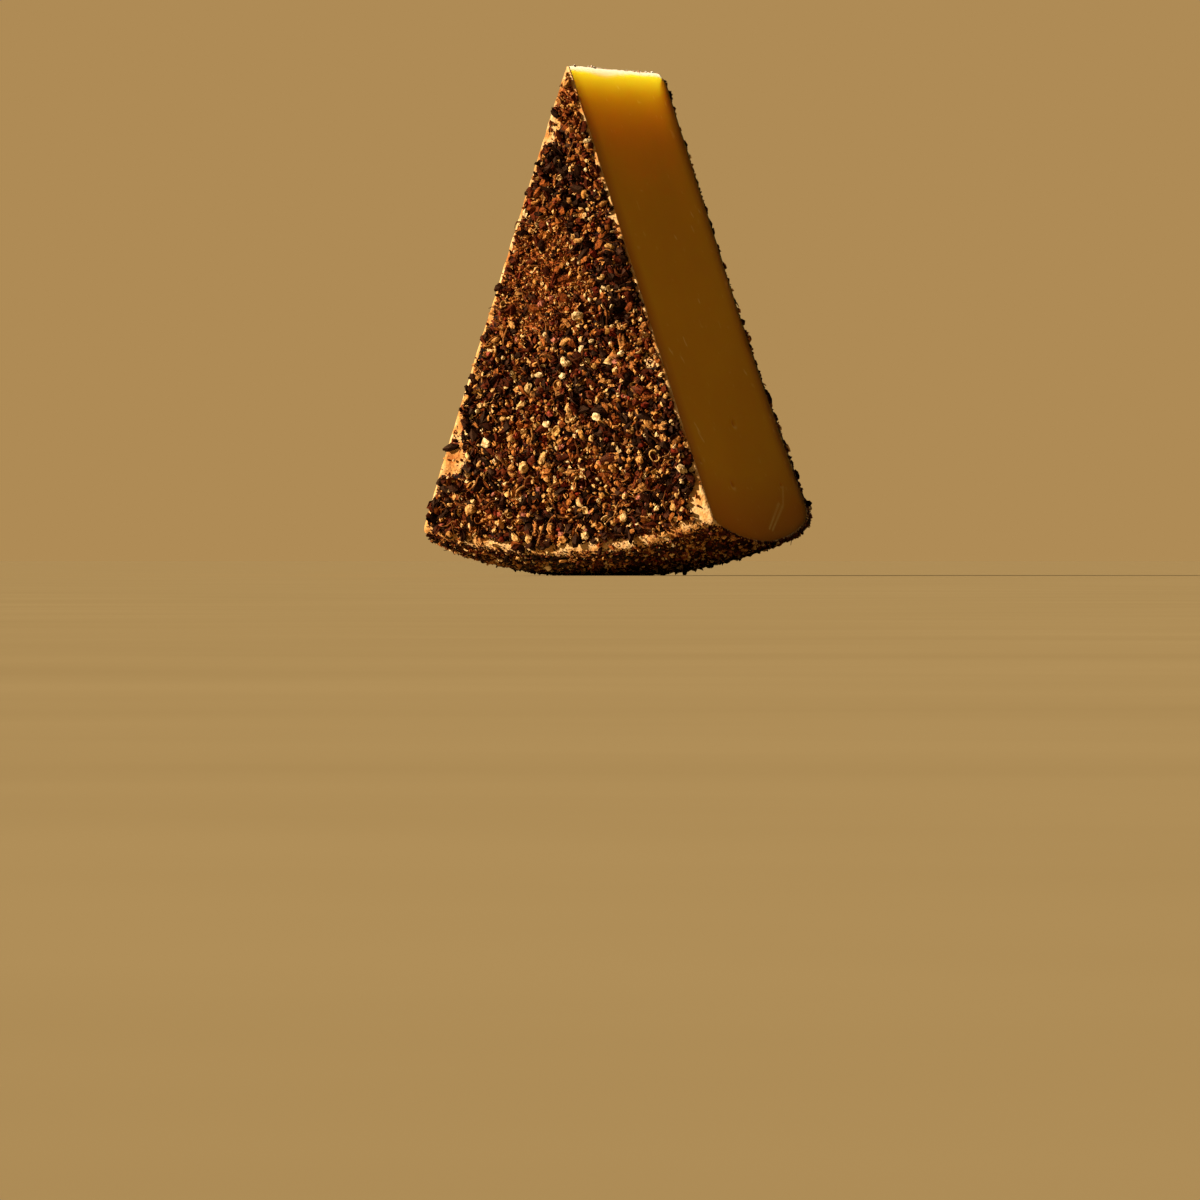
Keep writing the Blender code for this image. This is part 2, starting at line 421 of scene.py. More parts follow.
# The cut cheese as one closed shell: its skin under the coat, two cut faces and the blunt tip
def makePaste(material):
    cover = skin(0.0, 13, paste["spacing"], 0.0)
    tip = np.linspace(cover[0], cover[-1], paste["acrossCount"])
    blocks, faces, marks, pitShadeFreeParts, start = [], [], [], [], 0
    for grid, mark, pitShadeFree in (
        (cover, np.zeros(cover.size // 3), np.ones(cover.size // 3)),
        (tip, np.zeros(tip.size // 3), np.ones(tip.size // 3)),
        cutFace(-1, cover[:, 0]), cutFace(1, cover[:, -1]),
    ):
        blocks.append(grid.reshape(-1, 3))
        faces.append(gridFaces(*grid.shape[:2], start))
        marks.append(mark)
        pitShadeFreeParts.append(pitShadeFree)
        start += len(blocks[-1])
    points = np.concatenate(blocks)
    # painted shade, fading in from the rind and the heel, and inside each pit
    fromHeel = heelRadius(points[:, 1] - wedge["middleY"], 0) - wheelRadius(points[:, 0], points[:, 2])
    paintedShadeFree = np.minimum(depthInPaste(points) / paste["rindShadeWidth"], fromHeel / paste["heelShadeWidth"])
    paintedShadeFree = np.clip(paintedShadeFree, 0, 1) * np.concatenate(pitShadeFreeParts)
    # the dry strip is thin, but for one place nearer to the front
    strip = 1.6 + 1.7 * np.exp(-((points[:, 1] + 13) / 12) ** 2)
    strip += 0.4 * lumps(points * [0, 1, 0], 6.0, 76, 2)
    dry = step(1.0, 0.1, (wedge["tipHeight"] - points[:, 2]) / strip)
    points[:, 2] -= tipWear(points)
    values = {"paintedShadeFree": paintedShadeFree, "mark": np.concatenate(marks), "dry": dry}
    faces = np.concatenate(faces)
    piece = addPiece("paste", points, faces, material, True, values, True)
    piece.data.set_sharp_from_angle(angle=paste["sharpAngle"])
    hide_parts(node)


# Rind: the dark, crumb-packed skin that the loose pepper sits on

rind = {
    "lift": 0.75,  # mean thickness over the paste
    "relief": 0.5,
    "spacing": 0.8,
    "acrossCount": 100,
    "inset": 0.10,  # the rind shrinks back this far from the knife cut
    "bareLeft": 1.2,  # width of the front's bare strip beside the left cut
    "bareRight": 1.5,  # the same beside the right cut
    "bareBack": 0.05,  # the share of those widths on the back
    "heelPress": 0.75,  # how much less the grains stand out on the heel
    "backExtra": 1.1,  # how much thicker the back's crumbs are towards its rim
    "lip": 0.9,  # and again on the rim's back corner, within lipWidth
    "lipWidth": 4.0,
    "insideCover": 0.25,  # pepper dust against the paste, where the cuts show the rind's thickness
    "insideLift": -0.05,  # the rind's inside lies this little in the paste, so that no gap shows
}

# Places on the front where the coat has rubbed off: x, z, half width, half height and how bare
barePatches = (
    (1.8, 151.5, 4.0, 3.0, 0.5), (-3.1, 139.2, 2.2, 2.8, 0.8), (-5.8, 135.0, 2.4, 2.4, 0.8),
    (16.5, 112.0, 2.2, 6.5, 0.7), (-26.5, 83.3, 2.6, 8.0, 0.65), (27.5, 66.3, 3.0, 3.4, 0.6),
    (-36.5, 50.1, 2.2, 10.3, 0.8), (-39.5, 35.9, 4.6, 5.0, 0.95), (45.3, 26.0, 5.4, 13.0, 1.0),
)
# Fine rust-coloured crumbs and few larger grains, then a place thick with black skins
rustyPatches = (
    (-7.9, 91.0, 13.0, 16.0, 1.0), (1.8, 148.0, 6.0, 8.0, 0.8), (-35.0, 20.0, 9.0, 7.0, 0.5))
darkPatch = (20.0, 87.9, 9.0, 12.5, 1.0)

# Along the front's lower edge the coat has rubbed off in a band, by distance from the wheel's axis
bareBand = {"radius": 146.8, "halfWidth": 3.0, "amount": 0.84}


# How far points of the front lie inside an oval: 1 at its middle and 0 past its ragged edge
def inPatch(points, patch, ragged):
    x, z, halfWidth, halfHeight, amount = patch
    away = np.hypot((points[:, 0] - x) / halfWidth, (points[:, 2] - z) / halfHeight)
    onFront = step(4.0, 1.5, points[:, 1] - low[1])
    return onFront * amount * step(1.35, 0.7, away + ragged)


# How much pepper lies on the rind, 0 to 1: full, but for rubbed patches and a strip beside each cut
def coatCover(points):
    ragged = 0.45 * lumps(points, 2.4, 31, 2) + 0.25 * lumps(points, 7.0, 32)
    away = step(1.5, 6.0, points[:, 1] - low[1])
    bare = 0.7 * away * step(0.42, 0.6, lumps(points, 15, 33, 2) + 0.5 * ragged)
    for patch in barePatches:
        bare = np.maximum(bare, inPatch(points, patch, ragged))
    band = np.abs(wheelRadius(points[:, 0], points[:, 2]) - bareBand["radius"]) / bareBand["halfWidth"]
    band = step(1.3, 0.6, band + ragged + 0.5 * lumps(points, 13, 34)) * (1 - away)
    bare = np.maximum(bare, bareBand["amount"] * band)
    narrow = 1 + (rind["bareBack"] - 1) * away
    for side, width in ((-1, rind["bareLeft"]), (1, rind["bareRight"])):
        out, edgePoint = cutPlane(side)
        bare = np.maximum(bare, step(1, 0.5, (edgePoint - points) @ out / (width * narrow) + 0.6 * ragged))
    return 1 - bare


# Washed, dried cheese rind: matt, leathery and cracked, tan to orange, with pepper dust ground in
def rindMaterial():
    material, tree, shader = startMaterial("driedRind", {
        "Roughness": 0.75, "IOR": 1.45, "Specular IOR Level": 0.12})
    place = addNode(tree, "TexCoord", out="Object")
    broad, middle, fine = [
        addNode(tree, "TexNoise", {"Vector": place, "Scale": 1 / (size * mm), "Detail": detail})
        for size, detail in ((5, 4.0), (1.5, 3.0), (0.7, 2.0))]
    tan = addNode(tree, "ValToRGB", {"Fac": broad}, stops=(
        (0.3, "#A4622C"), (0.45, "#CC9656"), (0.6, "#DEBA86"), (0.75, "#B87638")))
    dust = addNode(tree, "ValToRGB", {"Fac": middle}, stops=(
        (0.4, "#0C0201"), (0.5, "#260802"), (0.62, "#6C2A0D"), (0.72, "#160401")))
    rusty = addNode(tree, "Attribute", out="Fac", attribute_name="rusty")
    dust = addNode(tree, "Mix", {"Factor": rusty, 6: dust, 7: "#A85C28"}, 2, data_type="RGBA")
    cover = addNode(tree, "Attribute", out="Fac", attribute_name="cover")
    speckled = addNode(tree, "Math", {0: fine, 1: 2.1, 2: -1.05}, operation="MULTIPLY_ADD")
    speckled = addNode(tree, "Math", {0: speckled, 1: cover}, operation="ADD")
    factor = addNode(tree, "ValToRGB", {"Fac": speckled}, stops=((0.3, "#000000"), (0.5, "#FFFFFF")))
    base = addNode(tree, "Mix", {"Factor": factor, 6: tan, 7: dust}, 2, data_type="RGBA")
    tree.links.new(base, shader.inputs["Base Color"])
    relief = addNode(tree, "Bump", {"Height": middle, "Distance": 0.6 * mm, "Strength": 0.8})
    relief = addNode(tree, "Bump", {
        "Height": fine, "Distance": 0.3 * mm, "Strength": 0.7, "Normal": relief})
    tree.links.new(relief, shader.inputs["Normal"])
    return material


# How much thicker the crumbs lie at the back's rim: more with the radius and the depth, and a
# bell-shaped lip round the corner, whose middle is half way along its arc
def extraThickness(radius, depth):
    cornerRadius, cornerDepth = cornerArc(backDepth, wedge["backCorner"], rind["lift"], 3)[1]
    away = np.hypot(radius - cornerRadius, depth - cornerDepth) / rind["lipWidth"]
    thick = rind["backExtra"] * step(70, 140, radius) * step(15, 33, depth)
    return thick + rind["lip"] * np.exp(-away**2)


# The rind's outside: the skin lifted by its thickness, with packed crumbs as relief along its normals
def rindSurface():
    grid = skin(rind["lift"], rind["acrossCount"], rind["spacing"], rind["inset"])
    normals = gridNormals(grid)
    flat = grid.reshape(-1, 3)
    cover = coatCover(flat)
    height = rind["relief"] * (0.7 * lumps(flat, 2.4, 41, 3) + 0.4 * lumps(flat, 9.0, 42))
    height = height * (0.5 + 0.5 * cover) + (0.35 * lumps(flat, 2.0, 43) - 0.2) * (1 - cover)
    height += extraThickness(wheelRadius(flat[:, 0], flat[:, 2]), flat[:, 1] - wedge["middleY"])
    flat = flat + normals.reshape(-1, 3) * height[:, None]
    return flat.reshape(grid.shape), normals, cover


# The rind as a closed thin shell: outside, inside against the paste and the walls along its edge
def makeRind(outer, cover):
    inner = skin(rind["insideLift"], rind["acrossCount"], rind["spacing"], rind["inset"])
    rows, columns = outer.shape[:2]
    count = rows * columns
    points = np.concatenate([outer.reshape(-1, 3), inner.reshape(-1, 3)])
    points[:, 2] -= tipWear(points)
    loop = borderOf(rows, columns)
    following = np.roll(loop, -1)
    wall = np.stack([loop, following, following + count, loop + count], axis=1)
    faces = np.concatenate([gridFaces(rows, columns), gridFaces(rows, columns, count)[:, ::-1], wall])
    cover = np.concatenate([cover, np.full(count, rind["insideCover"])])
    values = {"cover": cover, "rusty": 0.85 * rustiness(points)}
    addPiece("rind", points, faces, rindMaterial(), True, values, True)


# Base shapes of the grains, each about one unit in radius

# Triangles of rings of points, closed by a point at each end
def closedTube(rings, around):
    quads = gridFaces(rings, around, 0, True)
    here = np.arange(around)
    after = (here + 1) % around
    last = (rings - 1) * around
    first = np.stack([here, after, np.full(around, rings * around)], axis=1)
    end = np.stack([last + after, last + here, np.full(around, rings * around + 1)], axis=1)
    return np.concatenate([quads[:, [0, 1, 2]], quads[:, [0, 2, 3]], first, end])


# A small ball: rings of points between two poles, every other ring turned by half a step
def ball(around, rings):
    tilt = (np.pi * (np.arange(rings) + 1) / (rings + 1))[:, None]
    turn = 2 * np.pi * np.arange(around)[None, :] / around
    turn = turn + (np.arange(rings) % 2)[:, None] * np.pi / around
    wide = np.sin(tilt)
    ring = np.stack([wide * np.cos(turn), wide * np.sin(turn), np.cos(tilt) + 0 * turn], axis=2)
    return np.concatenate([ring.reshape(-1, 3), [[0, 0, 1], [0, 0, -1]]]), closedTube(rings, around)


# A broken grain: a ball trimmed by random flat breaks, so its radius is the nearest break's distance
def crackedShape(rng, around, rings, breakCount):
    points, faces = ball(around, rings)
    breaks = rng.normal(size=(breakCount, 3))
    breaks /= np.linalg.norm(breaks, axis=1, keepdims=True)
    facing = np.maximum(points @ breaks.T, 0.05)
    radius = np.minimum((rng.uniform(0.35, 0.8, breakCount) / facing).min(axis=1), 1.0)
    points = points * (radius * rng.uniform(0.88, 1.1, len(points)))[:, None]
    points -= (points.max(axis=0) + points.min(axis=0)) / 2
    return points / np.abs(points).max(), faces


# A shard of skin: a ball pressed thin and bent, with a ragged outline
def flakeShape(rng, around, rings):
    points, faces = ball(around, rings)
    outline = rng.uniform(0.6, 1.1, len(points))
    points = points * np.stack([outline, outline, np.full(len(points), 0.3)], axis=1)
    bend = rng.uniform(-0.2, 0.7)
    points[:, 2] -= bend * (points[:, 0] ** 2 + 0.6 * points[:, 1] ** 2) - bend * 0.4
    return points, faces


# A piece of husk: a ragged patch of a thin round shell, with its outside, its inside and its rim
def shardShape(rng, side):
    across, along = np.meshgrid(np.linspace(-1, 1, side), np.linspace(-1, 1, side), indexing="ij")
    reach = rng.uniform(0.7, 1.15)
    across = across * reach * rng.uniform(0.75, 1.15, across.shape)
    along = along * reach * rng.uniform(0.75, 1.15, along.shape) * rng.uniform(0.55, 1.0)
    level = np.cos(along)
    outside = np.stack([np.sin(across) * level, np.sin(along), np.cos(across) * level], axis=2)
    outside = outside.reshape(-1, 3)
    loop = borderOf(side, side)
    following = np.roll(loop, -1)
    wall = np.stack([loop, following, following + side**2, loop + side**2], axis=1)
    quads = np.concatenate([gridFaces(side, side), gridFaces(side, side, side**2)[:, ::-1], wall])
    points = np.concatenate([outside, outside * 0.84]) - [0, 0, 0.75]
    points = points * [1, 1, rng.choice([-1, 1])]
    if points[0, 2] > 0:
        quads = quads[:, ::-1]
    return points, np.concatenate([quads[:, [0, 1, 2]], quads[:, [0, 2, 3]]])


# Half a husk: a bowl's profile, up its outside, over the rim and down its inside, turned round
def cupShape(rng, around):
    down = np.linspace(np.pi, np.pi * rng.uniform(0.5, 0.68), 5)[1:]
    outside = np.stack([np.sin(down), np.cos(down)], axis=1)
    profile = np.concatenate([outside, outside[::-1] * 0.8])
    turn = 2 * np.pi * np.arange(around) / around
    ragged = 1 + 0.14 * np.sin(2 * turn + rng.uniform(0, 6)) + 0.08 * np.sin(5 * turn + rng.uniform(0, 6))
    width = 1 + 0.12 * np.sin(2 * turn + rng.uniform(0, 6))
    ring = np.stack([
        profile[:, :1] * np.cos(turn) * width, profile[:, :1] * np.sin(turn) * width,
        profile[:, 1:] * ragged + 0.5], axis=2)
    points = np.concatenate([ring.reshape(-1, 3), [[0, 0, -0.5], [0, 0, -0.3]]])
    return points, closedTube(len(profile), around)


# A dry stalk: a five-sided tube carried along a wavering line, thinner towards both ends
def stemShape(rng, sides, rings):
    along = np.linspace(-1, 1, rings)[:, None]
    bend = rng.normal(size=(2, 3)) * [0.22, 0.12, 0.08]
    waves = np.cos(np.array([1.5, 3.0, 4.5]) * along + [0, 1, 2])
    across, above = waves @ bend[0], waves @ bend[1] * 0.4
    radius = (rng.uniform(0.06, 0.12) * np.cos(along[:, 0] * 1.2) * rng.uniform(0.6, 1.4, rings))[:, None]
    turn = 2 * np.pi * np.arange(sides)[None, :] / sides
    ring = np.stack([
        along + 0 * turn, across[:, None] + radius * np.cos(turn),
        above[:, None] + radius * np.sin(turn)], axis=2)
    ends = [[-1.03, across[0], above[0]], [1.03, across[-1], above[-1]]]
    return np.concatenate([ring.reshape(-1, 3), ends]), closedTube(rings, sides)


# Grains of the coat. Sizes are in millimetres across, and skew makes the small ones commoner.
# Length and flatness stretch a grain along and through, and tilt turns it off the surface.
# Sink is how far its middle stands above the rind, in its own radii, and rise adds millimetres.
# Placed grains are listed one by one, as side (-1 front, 1 back), x, z, size and height above the rind.

grainKinds = {
    "rust_crumbs": {
        "seed": 101, "count": 15000, "shape": lambda rng: crackedShape(rng, 4, 1, 3), "variants": 14,
        "size": (0.5, 1.5), "skew": 1.6, "length": (0.8, 1.7), "flatness": (0.5, 1.0), "tilt": 1.5,
        "sink": 0.3, "rise": 0.5, "overhang": 0.5, "smooth": False,
        "share": lambda f: (0.1 + f["cover"]) * np.exp(
            1.1 * f["height"] - 0.2 * f["fine"] - 0.9 * f["drift"]) * (1 + 3 * f["rusty"])},
    "black_skins": {
        "seed": 102, "count": 8200, "shape": lambda rng: flakeShape(rng, 6, 2), "variants": 18,
        "size": (1.3, 4.4), "skew": 2.0, "length": (0.8, 2.2), "flatness": (0.8, 1.5), "tilt": 0.8,
        "sink": 0.3, "rise": 0.6, "overhang": 2.2, "smooth": False,
        "placed": (
            (1, 7.4, 135.0, 3.4, 1.2), (1, 15.6, 110.5, 3.0, 1.0), (1, 24.3, 85.6, 3.2, 1.1),
            (1, 2.7, 148.5, 2.2, 0.9), (1, 31.9, 63.5, 2.4, 1.0), (1, 34.4, 57.0, 2.8, 1.2),
            (1, 36.9, 49.5, 3.2, 1.2), (1, 44.0, 31.5, 2.6, 1.0),
            (1, 39.6, 41.0, 3.8, 1.4), (1, 41.0, 36.5, 3.0, 1.0), (-1, -39.0, 39.6, 3.8, 0.8),
            (-1, -42.9, 29.1, 3.0, 0.8)),
        "share": lambda f: f["full"] * np.exp(
            2.2 * f["drift"] + 1.7 * f["fine"] - 1.2 * f["height"]) * f["dark"]},
    "black_bits": {
        "seed": 103, "count": 10000, "shape": lambda rng: crackedShape(rng, 4, 2, 4), "variants": 14,
        "size": (0.7, 2.2), "skew": 1.6, "length": (0.8, 1.8), "flatness": (0.5, 1.0), "tilt": 0.9,
        "sink": 0.3, "rise": 0.6, "overhang": 1.5, "smooth": False,
        "share": lambda f: 0.03 + f["full"] * np.exp(
            1.5 * f["drift"] + 1.5 * f["fine"] - 0.6 * f["height"]) * f["dark"]},
    "brown_chunks": {
        "seed": 104, "count": 6000, "shape": lambda rng: crackedShape(rng, 5, 2, 5), "variants": 14,
        "size": (0.9, 3.4), "skew": 2.1, "length": (0.8, 1.8), "flatness": (0.4, 1.0), "tilt": 0.9,
        "sink": 0.3, "rise": 0.5, "overhang": 1.3, "smooth": False,
        "share": lambda f: 0.04 + f["full"] * np.exp(
            -0.5 * f["height"] - 0.6 * f["drift"] - 0.9 * f["fine"]) * (1 - 0.6 * f["rusty"])},
    "small_kernels": {
        "seed": 105, "count": 4000, "shape": lambda rng: crackedShape(rng, 5, 2, 5), "variants": 14,
        "size": (0.7, 2.2), "skew": 1.7, "length": (0.8, 1.5), "flatness": (0.45, 1.0), "tilt": 1.2,
        "sink": 0.7, "rise": 0.8, "overhang": 0.5, "smooth": False,
        "share": lambda f: 0.07 + f["full"] * np.exp(
            -1.3 * f["fine"] - 0.6 * f["height"]) * (1 - 0.7 * f["rusty"])},
    "large_kernels": {
        "seed": 106, "count": 640, "shape": lambda rng: crackedShape(rng, 8, 5, 8), "variants": 18,
        "size": (2.0, 4.0), "skew": 1.7, "length": (0.8, 1.3), "flatness": (0.5, 0.85), "tilt": 0.6,
        "sink": 0.9, "rise": 0.6, "overhang": 0.3, "smooth": False, "apart": 1.3,
        "placed": (
            (-1, -26.7, 41.0, 3.9, 1.2), (-1, -6.3, 46.8, 3.1, 1.1), (-1, 10.9, 49.2, 3.4, 1.2),
            (-1, -8.7, 61.9, 2.8, 1.0), (-1, -0.9, 61.5, 2.8, 1.0), (-1, 5.5, 69.8, 2.8, 1.0)),
        "placedTone": 0.9,
        "share": lambda f: f["full"] * np.exp(
            -2.4 * f["height"] - 0.6 * f["fine"]) * (1 - 0.9 * f["rusty"])},
    "red_bits": {
        "seed": 107, "count": 760, "shape": lambda rng: crackedShape(rng, 5, 2, 4), "variants": 8,
        "size": (1.1, 2.7), "skew": 1.5, "length": (0.8, 1.6), "flatness": (0.4, 0.9), "tilt": 0.8,
        "sink": 0.6, "rise": 0.7, "overhang": 0.5, "smooth": False,
        "share": lambda f: f["full"] * np.exp(-0.6 * f["height"]) * (1 - 0.6 * f["rusty"])},
    "husk_shards": {
        "seed": 110, "count": 1500, "shape": lambda rng: shardShape(rng, 4), "variants": 14,
        "size": (1.4, 3.6), "skew": 1.5, "length": (0.8, 1.4), "flatness": (0.7, 1.1), "tilt": 0.9,
        "sink": 0.7, "rise": 0.8, "overhang": 0.5, "smooth": False,
        "share": lambda f: f["full"] * np.exp(
            -1.6 * f["height"] - 0.4 * f["fine"]) * (1 - 0.7 * f["rusty"])},
    "husk_cups": {
        "seed": 108, "count": 140, "shape": lambda rng: cupShape(rng, 13), "variants": 8,
        "size": (2.0, 3.8), "skew": 1.6, "length": (0.85, 1.15), "flatness": (0.7, 1.0), "tilt": 0.5,
        "sink": 0.5, "rise": 0.5, "overhang": 0.3, "smooth": True, "apart": 1.0,
        "placed": ((-1, -3.0, 44.6, 4.5, 1.0), (-1, 30.1, 36.8, 4.0, 0.8)),
        "placedTone": 0.9,
        "share": lambda f: f["full"] * np.exp(-2.0 * f["height"])},
    "dry_stems": {
        "seed": 109, "count": 1000, "shape": lambda rng: stemShape(rng, 5, 7), "variants": 14,
        "size": (2.5, 9.0), "skew": 1.3, "length": (1.0, 1.0), "flatness": (1.0, 1.0), "tilt": 0.2,
        "sink": 0.2, "rise": 1.2, "overhang": 1.0, "smooth": True,
        "share": lambda f: f["full"] * np.exp(-3.5 * f["height"])},
}

# Colours from each grain's own tone, 0 to 1; the pattern's darker shade, its size and the roughness
grainFinishes = {
    "rust_crumbs": ("groundPepper", 0.8, 0.5, "#8A8A8A", (
        (0.0, "#340D03"), (0.3, "#6E2C0E"), (0.55, "#A45C24"), (0.8, "#CE8E48"), (1.0, "#E4B474"))),
    "black_skins": ("blackPepperSkin", 0.6, 0.6, "#606060", (
        (0.0, "#080101"), (0.5, "#140301"), (0.75, "#280A03"), (0.92, "#5A1E0A"), (1.0, "#1E100C"))),
    "black_bits": ("charredPepper", 0.65, 0.5, "#707070", (
        (0.0, "#070101"), (0.5, "#180401"), (0.8, "#3A1004"), (1.0, "#6C2A0C"))),
    "brown_chunks": ("crackedPepper", 0.75, 0.6, "#808080", (
        (0.0, "#2C0903"), (0.4, "#62250D"), (0.65, "#9A5220"), (0.88, "#CC9250"), (1.0, "#784626"))),
    "small_kernels": ("pepperKernel", 0.7, 0.7, "#B0A090", (
        (0.0, "#BE7838"), (0.4, "#DAA45E"), (0.75, "#EAC686"), (1.0, "#F2DCAA"))),
    "large_kernels": ("pepperHeart", 0.65, 1.1, "#B0A08C", (
        (0.0, "#CE904A"), (0.5, "#E6BE7E"), (1.0, "#F4DEB0"))),
    "red_bits": ("redPepperSkin", 0.55, 0.6, "#8A8A8A", (
        (0.0, "#480C04"), (0.5, "#8C2C18"), (1.0, "#C07A66"))),
    "husk_shards": ("brokenHusk", 0.55, 0.8, "#9A8A7A", (
        (0.0, "#5A2408"), (0.35, "#9C5C24"), (0.7, "#CC984E"), (1.0, "#E6C68C"))),
    "husk_cups": ("pepperHusk", 0.6, 0.8, "#8A7A6A", (
        (0.0, "#6A3412"), (0.5, "#AA7438"), (1.0, "#D2A862"))),
    "dry_stems": ("dryStalk", 0.75, 0.6, "#8A8A8A", (
        (0.0, "#200A04"), (0.5, "#663614"), (0.85, "#9A6432"), (1.0, "#C89458"))),
}


# Broken pepper, matt and dusty: each grain has one tone, with darker specks and a pitted surface
def grainMaterial(name, roughness, patternMm, darker, tones):
    material, tree, shader = startMaterial(name, {
        "Roughness": roughness, "IOR": 1.5, "Specular IOR Level": 0.2, "Specular Tint": "#FFB27A"})
    place = addNode(tree, "TexCoord", out="Object")
    tone = addNode(tree, "Attribute", out="Fac", attribute_name="tone")
    base = addNode(tree, "ValToRGB", {"Fac": tone}, stops=tones)
    pattern = addNode(tree, "TexNoise", {"Vector": place, "Scale": 1 / (patternMm * mm), "Roughness": 0.6})
    shade = addNode(tree, "ValToRGB", {"Fac": pattern}, stops=((0.38, darker), (0.6, "#FFFFFF")))
    base = addNode(
        tree, "Mix", {"Factor": 1.0, 6: base, 7: shade}, 2, data_type="RGBA", blend_type="MULTIPLY")
    tree.links.new(base, shader.inputs["Base Color"])
    relief = addNode(tree, "Bump", {"Height": pattern, "Distance": patternMm * 0.35 * mm, "Strength": 0.7})
    tree.links.new(relief, shader.inputs["Normal"])
    return material


# Random places on the coat: a cell of its grid is drawn by area times density, then a point inside it
def scatterPlaces(outer, normals, density, count, rng):
    a, b, c, d = outer[:-1, :-1], outer[1:, :-1], outer[1:, 1:], outer[:-1, 1:]
    area = np.linalg.norm(np.cross(c - a, d - b), axis=2) / 2
    total = np.cumsum(area.ravel() * density)
    cell = np.minimum(np.searchsorted(total / total[-1], rng.random(count)), len(total) - 1)
    row, column = np.divmod(cell, outer.shape[1] - 1)
    s, t = rng.random((2, count, 1))
    corners = ((0, 0, (1 - s) * (1 - t)), (1, 0, s * (1 - t)), (1, 1, s * t), (0, 1, (1 - s) * t))
    place = sum(share * outer[row + down, column + right] for down, right, share in corners)
    normal = sum(share * normals[row + down, column + right] for down, right, share in corners)
    return place, normal / np.linalg.norm(normal, axis=1, keepdims=True)


# Drops grains that stand too near to an earlier one of their kind
def thinned(place, size, apart):
    gap = np.linalg.norm(place[:, None] - place[None], axis=2)
    wanted = apart * (size[:, None] + size[None]) / 2
    return ~np.tril(gap < wanted, -1).any(axis=1)


# Rotations that stand a grain's own z roughly on the surface normal, turned at random about it
def turnsFor(normal, tilt, rng):
    up = normal + rng.normal(size=normal.shape) * tilt
    up /= np.linalg.norm(up, axis=1, keepdims=True)
    side = np.cross(up, rng.normal(size=up.shape))
    side /= np.linalg.norm(side, axis=1, keepdims=True)
    return np.stack([side, np.cross(up, side), up], axis=2)


# The knife sliced grains at a cut, so points past its plane are pressed back to it, all but a few
# loose ones that overhang by the allowance; nothing goes below the surface that the heel stands on
def trimAtCuts(points, allowance):
    for side in (-1, 1):
        out, edge = cutPlane(side)
        # few grains hang over the front's right border
        held = np.where((side > 0) & (points[:, 1] < wedge["middleY"]), 0.25, 1)
        past = (points - edge) @ out - allowance * held
        points = points - np.maximum(past, 0)[:, None] * out
    points[:, 2] = np.clip(points[:, 2], low[2], high[2] + 0.3)
    return points


# Copies of the base shapes, sized, turned and moved: which says the shape of each grain, -1 for none.
# Owner gives the number of the grain that each point belongs to.
def grainMesh(shapes, which, place, turns, scale):
    blocks, faces, owners, start = [], [], [], 0
    for index, (shape, triangles) in enumerate(shapes):
        chosen = np.flatnonzero(which == index)
        sized = shape[None] * scale[chosen][:, None]
        turned = np.einsum("nij,nkj->nki", turns[chosen], sized) + place[chosen][:, None]
        offsets = start + np.arange(len(chosen))[:, None, None] * len(shape)
        blocks.append(turned.reshape(-1, 3))
        faces.append((triangles[None] + offsets).reshape(-1, 3))
        owners.append(np.repeat(chosen, len(shape)))
        start += len(blocks[-1])
    return np.concatenate(blocks), np.concatenate(faces), np.concatenate(owners)


# Listed grains: their places on the rind, its outward directions there, sizes and heights
def placedGrains(entries):
    side, x, z, size, lift = np.array(entries, dtype=float).reshape(-1, 5).T
    radius = wheelRadius(x, z)
    depth = np.where(side < 0, frontDepth(radius), backDepth(radius)) + rind["lift"]
    depth = depth + np.where(side < 0, 0, extraThickness(radius, depth))
    place = np.stack([x, wedge["middleY"] + side * depth, z], axis=1)
    return place, np.stack([side * 0, side, side * 0], axis=1), size, lift


# Many grains of one kind as one mesh: a few base shapes, each sized, turned and set into the coat
def scatter(name, kind, surface, fields):
    rng = np.random.default_rng(kind["seed"])
    shapes = [kind["shape"](rng) for _ in range(kind["variants"])]
    count = kind["count"]
    place, normal = scatterPlaces(*surface, np.maximum(kind["share"](fields), 0), count, rng)
    size = kind["size"][0] + np.ptp(kind["size"]) * rng.random(count) ** kind["skew"]
    placed = placedGrains(kind.get("placed", ()))
    place = np.concatenate([placed[0], place])
    normal = np.concatenate([placed[1], normal])
    size = np.concatenate([placed[2], size])
    handMade = np.arange(len(size)) < len(placed[2])
    count = len(size)
    stretch = np.stack([
        rng.uniform(*kind["length"], count), rng.uniform(0.75, 1.0, count),
        rng.uniform(*kind["flatness"], count)], axis=1)
    turns = turnsFor(normal, kind["tilt"] * np.where(handMade, 0.3, 1)[:, None], rng)
    lift = kind["sink"] * size / 2 + rng.uniform(0, kind["rise"], count) ** 1.5
    lift[handMade] = placed[3]
    # the heel's grains are pressed in by the cheese's own weight
    pressed = 1 - rind["heelPress"] * step(0.5, 0.8, np.hypot(normal[:, 0], normal[:, 2]))
    place = place + normal * (lift * pressed)[:, None]
    size = size * (0.5 + 0.5 * pressed)
    tone = rng.random(count)
    tone[handMade] = kind.get("placedTone", 0.3)
    overhang = 0.1 + kind["overhang"] * np.maximum(rng.random(count) * 4 - 3, 0)
    overhang[handMade] = 1.2
    which = np.arange(count) % kind["variants"]
    if "apart" in kind:
        which[~thinned(place, size, kind["apart"])] = -1
    points, faces, owner = grainMesh(shapes, which, place, turns, stretch * size[:, None] / 2)
    points = trimAtCuts(points, overhang[owner])
    points[:, 2] -= tipWear(points)
    material = grainMaterial(*grainFinishes[name])
    addPiece(name, points, faces, material, kind["smooth"], {"tone": tone[owner]})
